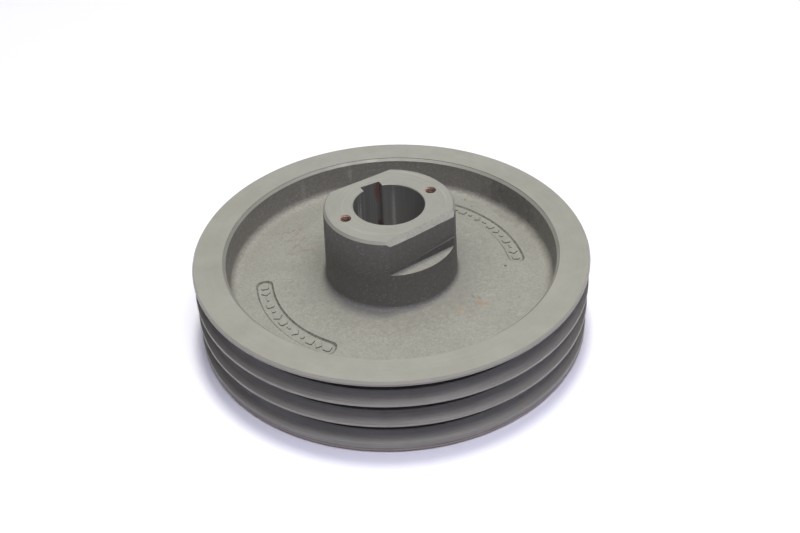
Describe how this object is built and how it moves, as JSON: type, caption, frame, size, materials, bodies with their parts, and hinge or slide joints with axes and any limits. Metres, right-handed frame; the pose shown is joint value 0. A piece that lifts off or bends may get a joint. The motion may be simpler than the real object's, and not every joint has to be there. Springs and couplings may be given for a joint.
{
  "type": "v-belt pulley",
  "caption": "Cast iron V-belt pulley with a grooved rim, a recessed solid web and a long keyed hub that has milled flats, puller holes and socket set screws.",
  "frame": {"origin": "centre of the rim's lower face, on the bore's axis", "axes": "+Z along the bore towards the projecting end of the hub, +Y from the bore's axis to the keyway, X through the two puller holes"},
  "size_m": [0.3048, 0.3048, 0.1062],
  "materials": {
    "grey_cast_iron": "machined rim, hub face, bore and grooves; as-cast web, recess and hub side",
    "blackened_steel": "black oxide"
  },
  "bodies": {
    "pulley": {"pulley_casting": "grey_cast_iron"},
    "key_screw": {"key_set_screw": "blackened_steel"},
    "shaft_screw": {"shaft_set_screw": "blackened_steel"}
  },
  "joints": [
    {"name": "key_screw_travel", "type": "slide", "parent": "pulley", "child": "key_screw", "axis": [0, -1, 0], "range_m": [-0.01, 0.0013]},
    {"name": "shaft_screw_travel", "type": "slide", "parent": "pulley", "child": "shaft_screw", "axis": [-1, 0, 0], "range_m": [-0.01, 0.001]}
  ]
}
